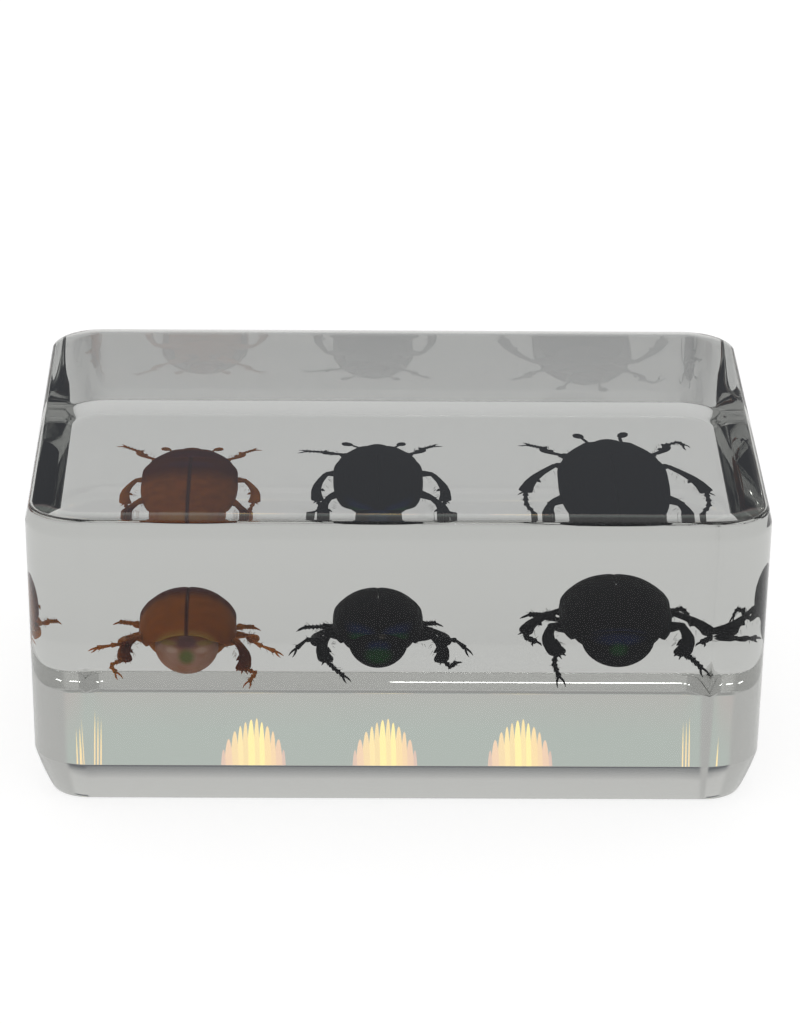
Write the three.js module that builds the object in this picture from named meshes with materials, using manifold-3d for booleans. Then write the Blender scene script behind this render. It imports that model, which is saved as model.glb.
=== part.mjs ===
// Three chafer beetles cast in a clear resin block.
// Millimetres, +Z up. The origin is at the centre of the block's underside, X runs along the
// long side, and the beetles' heads point to +Y.

import * as THREE from 'three';
import { mergeVertices } from 'three/addons/utils/BufferGeometryUtils.js';
import Module from 'manifold-3d';

const wasm = await Module();
wasm.setup();

// Block
const blockWidth = 75;
const blockDepth = 57.5;
const blockHeight = 31.2;
const cornerRadius = 5.6;
const smallestRadius = 0.4;
const wallDraft = THREE.MathUtils.degToRad(1.2);
const topRoundHeight = 1.8;
// inset and drop of the round of the top edge, from its crease on the wall to the level top
const topRoundStops = [[0, 1.8], [0.33, 0.62], [1.3, 0.2], [2.75, 0]];
const footBevelInset = 1.7;
const footBevelHeight = 4.4;
const footTaper = 0.35;
const cornerSteps = 4;

// Parting of the block round the beetles
const partingHeight = 13;
const partingGap = 0.3;
const pocketRadius = 3;
const pocketSteps = 1;

// Faces on round forms
const bodySides = 10;
const bodyRings = 6;
const smallSides = 6;
const smallRings = 4;
const limbSides = 5;
const footSides = 4;
const spineSides = 3;

// ---------------------------------------------------------------- solids

// A closed geometry, moved by a matrix, as a solid that can be joined and cut.
function solid(geometry, matrix = new THREE.Matrix4()) {
  const shell = geometry.clone();
  shell.deleteAttribute('normal');
  shell.deleteAttribute('uv');
  shell.applyMatrix4(matrix);
  const merged = mergeVertices(shell, 1e-4);
  const index = merged.index.array;
  const faces = [];
  for (let i = 0; i < index.length; i += 3) {
    const [a, b, c] = [index[i], index[i + 1], index[i + 2]];
    if (a !== b && b !== c && c !== a) faces.push(a, b, c);
  }
  return new wasm.Manifold(new wasm.Mesh({
    numProp: 3,
    vertProperties: Float32Array.from(merged.attributes.position.array),
    triVerts: Uint32Array.from(faces),
  }));
}

function join(solids) {
  return solids.reduce((sum, next) => sum.add(next));
}

function namedMesh(name, body, material) {
  const faces = body.getMesh();
  const geometry = new THREE.BufferGeometry();
  geometry.setAttribute('position', new THREE.BufferAttribute(faces.vertProperties, 3));
  geometry.setIndex(new THREE.BufferAttribute(faces.triVerts, 1));
  const mesh = new THREE.Mesh(geometry, material);
  mesh.name = name;
  return mesh;
}

function placed(x, y, z, tilt = 0) {
  return new THREE.Matrix4().makeTranslation(x, y, z)
    .multiply(new THREE.Matrix4().makeRotationX(tilt));
}

// An egg with half sizes rx, ry and rz, its poles on the Y axis.
function egg([x, y, z], [rx, ry, rz], tilt = 0, sides = bodySides, rings = bodyRings) {
  const geometry = new THREE.SphereGeometry(1, sides, rings);
  geometry.scale(rx, ry, rz);
  return solid(geometry, placed(x, y, z, tilt));
}

// ---------------------------------------------------------------- block

function roundedRectangle(width, depth, radius) {
  const x = width / 2 - radius;
  const y = depth / 2 - radius;
  const shape = new THREE.Shape();
  shape.absarc(x, y, radius, 0, Math.PI / 2);
  shape.absarc(-x, y, radius, Math.PI / 2, Math.PI);
  shape.absarc(-x, -y, radius, Math.PI, 1.5 * Math.PI);
  shape.absarc(x, -y, radius, 1.5 * Math.PI, 2 * Math.PI);
  shape.closePath();
  return shape;
}

// How far the wall stands in from its widest line at a height, by draft alone.
function draftAt(height) {
  return (blockHeight - topRoundHeight - height) * Math.tan(wallDraft);
}

// One half of the block: the rounded outline, with its inset at each level.
function blockHalf(levels) {
  const outline = roundedRectangle(blockWidth, blockDepth, cornerRadius);
  const steps = levels.length - 1;
  const geometry = new THREE.ExtrudeGeometry(outline, {
    depth: steps, steps, bevelEnabled: false, curveSegments: cornerSteps,
  });
  const points = geometry.attributes.position;
  const halfCore = [blockWidth / 2 - cornerRadius, blockDepth / 2 - cornerRadius];
  for (let i = 0; i < points.count; i += 1) {
    const level = levels[Math.round(points.getZ(i))];
    const radius = Math.max(cornerRadius - level.inset, smallestRadius);
    const place = [points.getX(i), points.getY(i)].map((value, axis) => {
      const side = Math.sign(value);
      const outward = (Math.abs(value) - halfCore[axis]) / cornerRadius;
      const half = [blockWidth, blockDepth][axis] / 2;
      return side * (half - level.inset - radius + outward * radius);
    });
    // the foot is lower behind
    const back = level.height <= footBevelHeight ? place[1] / blockDepth + 0.5 : 0;
    points.setXYZ(i, place[0], place[1], level.height * (1 - footTaper * back));
  }
  return solid(geometry);
}

function lowerLevels() {
  return [
    { height: 0, inset: draftAt(0) + footBevelInset },
    { height: footBevelHeight, inset: draftAt(footBevelHeight) },
    { height: partingHeight, inset: draftAt(partingHeight) },
  ];
}

function upperLevels() {
  const foot = partingHeight + partingGap;
  const levels = [{ height: foot, inset: draftAt(foot) }];
  for (const [inset, drop] of topRoundStops) {
    levels.push({ height: blockHeight - drop, inset });
  }
  return levels;
}

// The room that a beetle takes, from its lowest to its highest level.
function pocket(beetle) {
  const { pocketLow: low, pocketHigh: high } = beetle;
  const outline = roundedRectangle(high[0] - low[0], high[1] - low[1], pocketRadius);
  const geometry = new THREE.ExtrudeGeometry(outline, {
    depth: high[2] - low[2], steps: 1, bevelEnabled: false, curveSegments: pocketSteps,
  });
  const [x, y, z] = beetle.centre;
  const middle = placed(x + (low[0] + high[0]) / 2, y + (low[1] + high[1]) / 2, z + low[2]);
  return solid(geometry, middle);
}

// ---------------------------------------------------------------- beetle limbs

// A rounded rod between two points, thicker or thinner on its way by the list of radii,
// and flattened across by a factor.
function rod(from, to, radii, flatness = 1, sides = limbSides) {
  const start = new THREE.Vector3(...from);
  const end = new THREE.Vector3(...to);
  const length = start.distanceTo(end);
  const last = radii.length - 1;
  const profile = [new THREE.Vector2(0, -radii[0] * 0.6)];
  radii.forEach((radius, i) => profile.push(new THREE.Vector2(radius, (length * i) / last)));
  profile.push(new THREE.Vector2(0, length + radii[last] * 0.6));
  const geometry = new THREE.LatheGeometry(profile, sides);
  geometry.scale(1, 1, flatness);
  const along = end.clone().sub(start).normalize();
  const across = new THREE.Vector3(along.y, -along.x, 0).normalize();
  const matrix = new THREE.Matrix4().makeBasis(across, along, across.clone().cross(along));
  matrix.setPosition(start);
  return solid(geometry, matrix);
}

function between(from, to, share) {
  return from.map((value, i) => value + (to[i] - value) * share);
}

// Coxa, thigh, toothed shin and a jointed foot that ends in two claws.
function leg({ hip, knee, ankle, foot }, size, shinWidth) {
  const pieces = [
    rod(hip, knee, [0.66, 0.76, 0.42].map((r) => r * size), 0.7),
    rod(knee, ankle, [0.34, 0.46, 0.62].map((r) => r * size * shinWidth), 0.75),
  ];
  // teeth at half way and at the end of the shin
  const outward = new THREE.Vector3(...ankle).sub(new THREE.Vector3(...knee)).normalize();
  for (const share of [0.55, 0.97]) {
    const root = between(knee, ankle, share);
    const side = Math.sign(knee[0]);
    const tip = [
      root[0] + (outward.x * 0.45 - side * 0.6) * size * shinWidth,
      root[1] + outward.y * 0.45 * size,
      root[2] + (outward.z * 0.45 - 0.2) * size,
    ];
    pieces.push(rod(root, tip, [0.26 * size, 0.07 * size], 1, spineSides));
  }
  let joint = ankle;
  for (const next of foot) {
    pieces.push(rod(joint, next, [0.17 * size, 0.25 * size], 1, footSides));
    joint = next;
  }
  const heading = new THREE.Vector3(...joint)
    .sub(new THREE.Vector3(...(foot.length > 1 ? foot[foot.length - 2] : ankle))).normalize();
  for (const side of [-1, 1]) {
    const claw = [
      joint[0] + (heading.x * 0.7 - heading.y * 0.35 * side) * size,
      joint[1] + (heading.y * 0.7 + heading.x * 0.35 * side) * size,
      joint[2] + (heading.z * 0.7 - 0.3) * size,
    ];
    pieces.push(rod(joint, claw, [0.13 * size, 0.05 * size], 1, spineSides));
  }
  return pieces;
}

function antenna({ root, elbow, club }, size) {
  return [
    rod(root, elbow, [0.16 * size, 0.14 * size], 1, footSides),
    rod(elbow, club, [0.16 * size, 0.42 * size, 0.34 * size], 0.5),
  ];
}

// ---------------------------------------------------------------- beetle body

// Shares of the beetle's width, length and height.
function beetleBody({ width: w, length: l, height: h }) {
  const pieces = [];
  for (const side of [-1, 1]) {
    // wing cover and eye
    pieces.push(egg([side * 0.115 * w, -0.1 * l, 0], [0.385 * w, 0.37 * l, 0.5 * h], 0.1));
    pieces.push(egg([side * 0.18 * w, 0.4 * l, -0.13 * h], [0.05 * w, 0.05 * l, 0.1 * h], 0,
      smallSides, smallRings));
  }
  // belly, rump plate, neck shield, head and its front edge
  pieces.push(egg([0, -0.05 * l, -0.1 * h], [0.455 * w, 0.38 * l, 0.33 * h]));
  pieces.push(egg([0, -0.36 * l, -0.1 * h], [0.345 * w, 0.11 * l, 0.4 * h], 0.2));
  pieces.push(egg([0, 0.26 * l, -0.01 * h], [0.4 * w, 0.17 * l, 0.42 * h], -0.2));
  pieces.push(egg([0, 0.4 * l, -0.12 * h], [0.2 * w, 0.1 * l, 0.22 * h], -0.3,
    smallSides, smallRings));
  pieces.push(egg([0, 0.455 * l, -0.2 * h], [0.15 * w, 0.045 * l, 0.09 * h], -0.4,
    smallSides, smallRings));
  // scutellum, the small shield between the wing covers
  pieces.push(egg([0, 0.12 * l, 0.435 * h], [0.1 * w, 0.06 * l, 0.06 * h], -0.25,
    smallSides, smallRings));
  return pieces;
}

function beetleSolid(beetle) {
  const pieces = [...beetleBody(beetle)];
  beetle.legs.forEach((parts) => pieces.push(...leg(parts, beetle.limb, parts.broad ?? 1)));
  beetle.antennae.forEach((parts) => pieces.push(...antenna(parts, beetle.limb)));
  return join(pieces).translate(beetle.centre);
}

// Hips, knees, ankles and feet are in the beetle's own frame, from the middle of its body.
const beetles = [
  {
    name: 'brown_beetle',
    colour: 0x7a2c10,
    centre: [-21.55, -3.9, 13.55],
    width: 9.6,
    length: 20.8,
    height: 7.0,
    limb: 1.1,
    pocketLow: [-10.5, -13.4, -5.2],
    pocketHigh: [10.5, 14, 5],
    legs: [
      { hip: [-1.6, 5.58, -2.1], knee: [-3.9, 8.35, -2.65], ankle: [-5.6, 10.55, -2.75],
        foot: [[-7.3, 12.25, -2.95]], broad: 0.8 },
      { hip: [1.6, 5.58, -2.1], knee: [3.8, 8.35, -2.65], ankle: [5.3, 10.35, -2.95],
        foot: [[6.6, 11.75, -3.35]], broad: 0.8 },
      { hip: [-1.8, 2.58, -2.1], knee: [-5.7, 1.6, -1.7], ankle: [-6.5, -5.2, -0.8],
        foot: [[-6, -9, 0.3], [-7.4, -10.6, 0.5], [-9.1, -11.4, 0.4]] },
      { hip: [1.8, 2.58, -2.1], knee: [5.8, 1.6, -1.6], ankle: [6.8, -5.2, -0.2],
        foot: [[6.3, -8.8, 0.8], [7.4, -10.6, 0.6], [9.1, -11.4, 0.1]] },
      { hip: [-1.9, -0.93, -2.1], knee: [-5.3, -6.05, 0.15], ankle: [-6.3, -9.85, -1.15],
        foot: [[-7.8, -11.15, -1.65], [-7.2, -11.75, -2.15]], broad: 1.25 },
      { hip: [1.9, -0.93, -2.1], knee: [5.1, -6.15, -0.25], ankle: [5.8, -9.45, -2.25],
        foot: [[7.1, -10.65, -2.55], [6.5, -11.55, -3.15]], broad: 1.25 },
    ],
    antennae: [
      { root: [-1.4, 8.8, -1.1], elbow: [-2.3, 9.7, -1.2], club: [-3.1, 10.6, -1.5] },
      { root: [1.4, 8.8, -1.1], elbow: [2.3, 9.7, -1.2], club: [3.1, 10.6, -1.5] },
    ],
  },
  {
    name: 'green_black_beetle',
    colour: 0x101713,
    centre: [-1.9, -2.5, 13.55],
    width: 8.9,
    length: 20.6,
    height: 6.2,
    limb: 1.15,
    pocketLow: [-9.7, -13.3, -5.2],
    pocketHigh: [10.1, 13.7, 5],
    legs: [
      { hip: [-1.5, 5.42, -1.86], knee: [-3.6, 8.65, -2.75], ankle: [-5.6, 9.55, -3.05],
        foot: [[-7.6, 9.95, -3.25]], broad: 0.8 },
      { hip: [1.5, 5.42, -1.86], knee: [3.4, 8.85, -2.75], ankle: [4.8, 10.45, -2.95],
        foot: [[6.1, 11.55, -3.15]], broad: 0.8 },
      { hip: [-1.7, 2.62, -1.86], knee: [-5.4, 2.2, -1.6], ankle: [-6.3, -5.6, -0.8],
        foot: [[-5.9, -9.2, 0.4], [-7.4, -10.6, 0.8], [-8.4, -11.2, 0]] },
      { hip: [1.7, 2.62, -1.86], knee: [5.7, 2.2, -1.5], ankle: [6.9, -5.6, -0.7],
        foot: [[6.6, -9.2, 0.5], [8, -10.6, 0.8], [8.9, -11.2, 0.1]] },
      { hip: [-1.8, -0.88, -1.86], knee: [-5.1, -5.85, 0.15], ankle: [-5.4, -9.75, -1.55],
        foot: [[-4.6, -10.95, -2.25], [-3.6, -11.75, -2.85]], broad: 1.2 },
      { hip: [1.8, -0.88, -1.86], knee: [5.6, -5.75, -0.05], ankle: [6.5, -9.55, -1.55],
        foot: [[7.4, -10.75, -2.15], [7.9, -11.55, -1.45]], broad: 1.2 },
    ],
    antennae: [
      { root: [-1.4, 8.8, -1.1], elbow: [-2.6, 9.8, -1], club: [-3.6, 10.6, -1.2] },
      { root: [1.4, 8.8, -1.1], elbow: [2.2, 9.8, -1], club: [2.8, 10.7, -1.2] },
    ],
  },
  {
    name: 'blue_black_beetle',
    colour: 0x0c1018,
    centre: [22.6, -4.5, 15.15],
    width: 11.0,
    length: 26,
    height: 6.7,
    limb: 1.35,
    pocketLow: [-11.4, -14.9, -5.4],
    pocketHigh: [11.7, 16.3, 5.1],
    legs: [
      { hip: [-2, 7, -2.01], knee: [-4.9, 10, -3.45], ankle: [-6.8, 11.9, -3.35],
        foot: [[-8.4, 13, -3.55]], broad: 0.8 },
      { hip: [2, 7, -2.01], knee: [4.7, 10.2, -3.45], ankle: [6.3, 12.6, -3.05],
        foot: [[7.7, 13.6, -2.95], [8.2, 13.3, -3.65]], broad: 0.8 },
      { hip: [-2.2, 4.5, -2.01], knee: [-5.8, 5.4, -1.2], ankle: [-9.2, -1.6, -1.5],
        foot: [[-9.3, -5.3, -1.3], [-8.5, -8.4, -0.9]] },
      { hip: [2.2, 4.5, -2.01], knee: [6, 5.2, -1.2], ankle: [9.6, -1.6, -1.5],
        foot: [[9.7, -5.3, -1.3], [8.7, -8.4, -0.9]] },
      { hip: [-2.5, -1, -2.01], knee: [-6.7, -6.5, 0.25], ankle: [-6.3, -10.6, -1.45],
        foot: [[-6.6, -12, -2.45], [-6.1, -13, -3.55]], broad: 1.2 },
      { hip: [2.5, -1, -2.01], knee: [6.6, -6.5, 0.35], ankle: [6.6, -10.6, -1.45],
        foot: [[7.6, -11.9, -1.95], [8.4, -12.9, -2.55]], broad: 1.2 },
    ],
    antennae: [
      { root: [-1.8, 11.2, -1.3], elbow: [-2.6, 13, -1.2], club: [-3.3, 14.3, -1.4] },
      { root: [1.6, 11.2, -1.3], elbow: [1.4, 13.2, -1.2], club: [2, 14.8, -1.4] },
    ],
  },
];

// ---------------------------------------------------------------- assembly

function buildBlock() {
  const resin = () => new THREE.MeshStandardMaterial({
    color: 0xe9edf0, roughness: 0.03, metalness: 0, transparent: true, opacity: 0.35,
  });
  const room = join(beetles.map(pocket));
  return [
    namedMesh('resin_lower_half', blockHalf(lowerLevels()).subtract(room), resin()),
    namedMesh('resin_upper_half', blockHalf(upperLevels()).subtract(room), resin()),
  ];
}

function buildBeetles() {
  return beetles.map((beetle) => {
    const shell = new THREE.MeshStandardMaterial({
      color: beetle.colour, roughness: 0.35, metalness: 0.1,
    });
    return namedMesh(beetle.name, beetleSolid(beetle), shell);
  });
}

const paperweight = new THREE.Group();
paperweight.add(...buildBlock(), ...buildBeetles());

export default paperweight;
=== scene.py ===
"""Three chafer beetles cast in a clear resin block: looks, lights and camera."""

import math
import random

import bmesh
import bpy
from mathutils import Matrix, Vector


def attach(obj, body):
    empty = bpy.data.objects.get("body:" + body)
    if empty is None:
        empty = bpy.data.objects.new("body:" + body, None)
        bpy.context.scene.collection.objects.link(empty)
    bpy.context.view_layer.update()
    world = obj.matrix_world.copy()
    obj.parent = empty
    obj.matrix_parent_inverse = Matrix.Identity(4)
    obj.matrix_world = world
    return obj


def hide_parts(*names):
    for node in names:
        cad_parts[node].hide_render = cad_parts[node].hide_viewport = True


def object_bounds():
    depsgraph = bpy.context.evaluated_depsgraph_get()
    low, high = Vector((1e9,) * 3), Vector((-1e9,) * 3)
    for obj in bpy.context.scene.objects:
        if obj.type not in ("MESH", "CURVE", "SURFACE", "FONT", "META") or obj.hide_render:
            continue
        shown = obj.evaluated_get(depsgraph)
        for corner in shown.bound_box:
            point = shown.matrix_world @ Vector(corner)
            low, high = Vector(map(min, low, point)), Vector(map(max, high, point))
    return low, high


bl_info = {
    "name": "Insect in Resin Block",
    "version": (1, 0, 0),
    "blender": (4, 5, 0),
    "location": "View3D > Sidebar > Resin Block",
    "description": "Builds a bevelled clear block with three chafer beetles sealed in it",
    "category": "Object",
}

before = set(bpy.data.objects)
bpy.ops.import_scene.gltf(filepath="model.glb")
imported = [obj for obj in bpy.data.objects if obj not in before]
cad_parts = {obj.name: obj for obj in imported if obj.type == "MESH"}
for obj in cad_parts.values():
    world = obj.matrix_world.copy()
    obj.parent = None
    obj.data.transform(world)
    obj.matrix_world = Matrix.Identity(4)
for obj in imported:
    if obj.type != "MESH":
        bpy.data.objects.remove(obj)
CAD_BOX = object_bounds()
MM = 0.001
BODY = "root"

# ---------------------------------------------------------------- beetle poses

# Millimetres from the middle of each beetle's body. X is to its right, Y the way its head points.
# A leg is hip, knee, ankle, then the points of its foot; broad widens the shin.
BEETLES = {
    "brown_beetle": {
        "piece": "brown_chafer",
        "centre": (-21.55, -3.9, 13.55),
        "size": (9.6, 20.8, 7.0),
        "limb": 1.1,
        "legs": (
            {"hip": (-1.6, 5.58, -2.1), "knee": (-3.9, 8.35, -2.65), "ankle": (-5.6, 10.55, -2.75),
             "foot": ((-7.3, 12.25, -2.95),), "broad": 0.8},
            {"hip": (1.6, 5.58, -2.1), "knee": (3.8, 8.35, -2.65), "ankle": (5.3, 10.35, -2.95),
             "foot": ((6.6, 11.75, -3.35),), "broad": 0.8},
            {"hip": (-1.8, 2.58, -2.1), "knee": (-5.7, 1.6, -1.7), "ankle": (-6.5, -5.2, -0.8),
             "foot": ((-6.0, -9.0, 0.3), (-7.4, -10.6, 0.5), (-9.1, -11.4, 0.4)), "broad": 1.0},
            {"hip": (1.8, 2.58, -2.1), "knee": (5.8, 1.6, -1.6), "ankle": (6.8, -5.2, -0.2),
             "foot": ((6.3, -8.8, 0.8), (7.4, -10.6, 0.6), (9.1, -11.4, 0.1)), "broad": 1.0},
            {"hip": (-1.9, -0.93, -2.1), "knee": (-5.3, -6.05, 0.15), "ankle": (-6.3, -9.85, -1.15),
             "foot": ((-7.8, -11.15, -1.65), (-7.2, -11.75, -2.15)), "broad": 1.25},
            {"hip": (1.9, -0.93, -2.1), "knee": (5.1, -6.15, -0.25), "ankle": (5.8, -9.45, -2.25),
             "foot": ((7.1, -10.65, -2.55), (6.5, -11.55, -3.15)), "broad": 1.25},
        ),
        "antennae": (
            ((-1.4, 8.8, -1.1), (-2.3, 9.7, -1.2), (-3.1, 10.6, -1.5)),
            ((1.4, 8.8, -1.1), (2.3, 9.7, -1.2), (3.1, 10.6, -1.5)),
        ),
    },
    "green_black_beetle": {
        "piece": "green_black_chafer",
        "centre": (-1.9, -2.5, 13.55),
        "size": (8.9, 20.6, 6.2),
        "limb": 1.15,
        "legs": (
            {"hip": (-1.5, 5.42, -1.86), "knee": (-3.6, 8.65, -2.75), "ankle": (-5.6, 9.55, -3.05),
             "foot": ((-7.6, 9.95, -3.25),), "broad": 0.8},
            {"hip": (1.5, 5.42, -1.86), "knee": (3.4, 8.85, -2.75), "ankle": (4.8, 10.45, -2.95),
             "foot": ((6.1, 11.55, -3.15),), "broad": 0.8},
            {"hip": (-1.7, 2.62, -1.86), "knee": (-5.4, 2.2, -1.6), "ankle": (-6.3, -5.6, -0.8),
             "foot": ((-5.9, -9.2, 0.4), (-7.4, -10.6, 0.8), (-8.4, -11.2, 0.0)), "broad": 1.0},
            {"hip": (1.7, 2.62, -1.86), "knee": (5.7, 2.2, -1.5), "ankle": (6.9, -5.6, -0.7),
             "foot": ((6.6, -9.2, 0.5), (8.0, -10.6, 0.8), (8.9, -11.2, 0.1)), "broad": 1.0},
            {"hip": (-1.8, -0.88, -1.86), "knee": (-5.1, -5.85, 0.15),
             "ankle": (-5.4, -9.75, -1.55), "foot": ((-4.6, -10.95, -2.25), (-3.6, -11.75, -2.85)),
             "broad": 1.2},
            {"hip": (1.8, -0.88, -1.86), "knee": (5.6, -5.75, -0.05), "ankle": (6.5, -9.55, -1.55),
             "foot": ((7.4, -10.75, -2.15), (7.9, -11.55, -1.45)), "broad": 1.2},
        ),
        "antennae": (
            ((-1.4, 8.8, -1.1), (-2.6, 9.8, -1.0), (-3.6, 10.6, -1.2)),
            ((1.4, 8.8, -1.1), (2.2, 9.8, -1.0), (2.8, 10.7, -1.2)),
        ),
    },
    "blue_black_beetle": {
        "piece": "blue_black_chafer",
        "centre": (22.6, -4.5, 15.15),
        "size": (11.0, 26.0, 6.7),
        "limb": 1.35,
        "legs": (
            {"hip": (-2, 7.0, -2.01), "knee": (-4.9, 10.0, -3.45), "ankle": (-6.8, 11.9, -3.35),
             "foot": ((-8.4, 13.0, -3.55),), "broad": 0.8},
            {"hip": (2, 7.0, -2.01), "knee": (4.7, 10.2, -3.45), "ankle": (6.3, 12.6, -3.05),
             "foot": ((7.7, 13.6, -2.95), (8.2, 13.3, -3.65)), "broad": 0.8},
            {"hip": (-2.2, 4.5, -2.01), "knee": (-5.8, 5.4, -1.2), "ankle": (-9.2, -1.6, -1.5),
             "foot": ((-9.3, -5.3, -1.3), (-8.5, -8.4, -0.9)), "broad": 1.0},
            {"hip": (2.2, 4.5, -2.01), "knee": (6.0, 5.2, -1.2), "ankle": (9.6, -1.6, -1.5),
             "foot": ((9.7, -5.3, -1.3), (8.7, -8.4, -0.9)), "broad": 1.0},
            {"hip": (-2.5, -1.0, -2.01), "knee": (-6.7, -6.5, 0.25), "ankle": (-6.3, -10.6, -1.45),
             "foot": ((-6.6, -12.0, -2.45), (-6.1, -13.0, -3.55)), "broad": 1.2},
            {"hip": (2.5, -1.0, -2.01), "knee": (6.6, -6.5, 0.35), "ankle": (6.6, -10.6, -1.45),
             "foot": ((7.6, -11.9, -1.95), (8.4, -12.9, -2.55)), "broad": 1.2},
        ),
        "antennae": (
            ((-1.8, 11.2, -1.3), (-2.6, 13.0, -1.2), (-3.3, 14.3, -1.4)),
            ((1.6, 11.2, -1.3), (1.4, 13.2, -1.2), (2.0, 14.8, -1.4)),
        ),
    },
}

# Places of a beetle's materials on its mesh.
COVERS, SHIELD, BELLY, LIMBS, EYES, HAIRS, TAIL = range(7)

# Upright oval streaks of a lamp behind the block, in metres: offset, spacing, half height,
# colour and brightness.
LAMP_STREAKS = (
    (-0.0240, 0.0024, 0.022, (1.0, 0.32, 0.12), 1.0),
    (-0.0200, 0.0040, 0.030, (1.0, 0.42, 0.1), 1.4),
    (-0.0152, 0.0040, 0.036, (1.0, 0.52, 0.03), 1.5),
    (-0.0108, 0.0032, 0.040, (1.0, 0.6, 0.03), 1.7),
    (-0.0068, 0.0032, 0.043, (1.0, 0.55, 0.0), 1.5),
    (-0.0024, 0.0040, 0.045, (1.0, 0.66, 0.0), 1.9),
    (0.0020, 0.0032, 0.046, (1.0, 0.6, 0.0), 1.6),
    (0.0060, 0.0032, 0.043, (1.0, 0.66, 0.0), 1.9),
    (0.0104, 0.0040, 0.040, (1.0, 0.52, 0.0), 1.6),
    (0.0148, 0.0032, 0.036, (1.0, 0.46, 0.03), 1.5),
    (0.0192, 0.0040, 0.030, (1.0, 0.38, 0.08), 1.3),
    (0.0232, 0.0024, 0.022, (1.0, 0.28, 0.12), 0.9),
)
# Where the lamps stand, in metres, and how much their streaks overlap and are dimmed for it.
LAMPS_ACROSS = (-0.063, 0.0405, 0.147)
LAMPS_BEHIND = 3.0
LAMPS_HEIGHT = 1.4
STREAK_OVERLAP = 1.7
STREAK_DIMMING = 0.75
OVERHEAD_ACROSS = (-0.75, -0.3, 0.15, 0.65)

# Slopes of the rim's steep band and of the outer end of its wide round, and the swell of the foot.
BAND_SLOPE = math.radians(77)
TOP_SLOPE = math.radians(6)
FOOT_SWELL = math.radians(5)

# The reach in millimetres of a patch of colour that has no end on an axis.
FAR = 99.0

# The camera's long side in millimetres, the edge that it is aimed by, below the level top, and
# how far below the middle of the view that edge stands, as a share of the view's height.
SENSOR = 36.0
EDGE_DEPTH = 1.6 * MM
EDGE_DROP = 26 / 1024

# ---------------------------------------------------------------- settings


def colour(name, description, default):
    return bpy.props.FloatVectorProperty(
        name=name, description=description, default=default, subtype="COLOR", min=0.0, max=1.0
    )


def length(name, description, default_mm):
    return bpy.props.FloatProperty(
        name=name, description=description, default=default_mm * MM, unit="LENGTH", min=0.0
    )


class ResinSettings(bpy.types.PropertyGroup):
    corner_radius: length("Corner Radius", "Radius of the four upright corners", 5.8)
    rim_width: length("Rim Width", "How far the round of the top edge runs in", 2.75)
    rim_height: length("Rim Height", "How far the round of the top edge drops", 1.8)
    rim_round: length("Rim Round", "Radius between the rim's steep band and its top", 0.5)
    foot_width: length("Foot Width", "How far the bevel of the foot runs in", 1.7)
    foot_height: length("Foot Height", "How high the bevel of the foot rises in front", 4.4)
    foot_taper: bpy.props.FloatProperty(
        name="Foot Taper", description="Share by which the foot is lower behind", default=0.35
    )
    edge_softness: length("Edge Softness", "Polish round on the rim's crease", 0.25)
    foot_softness: length("Foot Softness", "Polish round on the foot's creases", 0.1)
    wall_draft: bpy.props.FloatProperty(
        name="Wall Draft", description="Lean of the walls, narrower at the foot",
        default=math.radians(1.2), subtype="ANGLE",
    )
    refraction: bpy.props.FloatProperty(
        name="Refraction", description="Index of refraction of the cast resin", default=1.5
    )
    gloss: colour("Gloss", "Tone of what the resin mirrors face on", (0.45, 0.46, 0.48))
    tint: colour("Tint", "Colour that passes through the resin", (0.6, 0.605, 0.59))
    tint_density: bpy.props.FloatProperty(
        name="Tint Density", description="How much light the resin takes per metre", default=31.5
    )


class BeetleSettings(bpy.types.PropertyGroup):
    amber: colour("Amber", "Lit colour of the brown beetle's wing covers", (0.26, 0.075, 0.01))
    chestnut: colour("Chestnut", "Dark colour of the brown beetle's shell", (0.07, 0.013, 0.006))
    orange: colour("Orange", "Brown beetle's belly and legs", (0.36, 0.12, 0.02))
    tail_pink: colour("Tail Pink", "Brown beetle's tail plate", (0.4, 0.23, 0.17))
    black: colour("Black", "Ground colour of the dark shells", (0.003, 0.0035, 0.004))
    # Painted sheen: green and blue painted into the dark shells' colour where they shine
    painted_green_sheen: colour("Green Sheen", "Green glow of the dark shells", (0.002, 0.045, 0.006))
    painted_blue_sheen: colour("Blue Sheen", "Blue glow of the dark shells", (0.003, 0.01, 0.05))


class StageSettings(bpy.types.PropertyGroup):
    floor_tone: colour("Floor", "Colour of the floor", (0.3, 0.3, 0.3))
    floor_glow: bpy.props.FloatProperty(
        name="Floor Glow", description="Light of the lit table itself", default=0.78, min=0.0
    )
    surround_tone: colour("Surround", "Light from all round", (1.0, 0.995, 0.985))
    dark_tone: colour("Dark Band", "The dark wall that the top mirrors", (0.26, 0.27, 0.29))
    camera_turn: bpy.props.FloatProperty(
        name="Camera Turn", description="Turn of the view to the left of the block's front",
        default=math.radians(0.95), subtype="ANGLE",
    )
    camera_roll: bpy.props.FloatProperty(
        name="Camera Roll", description="Roll of the camera", default=math.radians(0.6),
        subtype="ANGLE",
    )
    camera_rise: bpy.props.FloatProperty(
        name="Camera Rise", description="Angle of the view above the front top edge",
        default=math.radians(22.2), subtype="ANGLE",
    )
    camera_distance: length("Camera Distance", "From the front top edge to the camera", 477.0)
    focal_length: bpy.props.FloatProperty(
        name="Focal Length", description="Lens in millimetres, on a 36 mm long side", default=169.0
    )


# ---------------------------------------------------------------- mesh helpers


def own_faces(verts, material):
    """Smooth faces of a new form, with their place in the list of materials."""
    for face in {face for vert in verts for face in vert.link_faces}:
        face.material_index = material
        face.smooth = True


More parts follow.
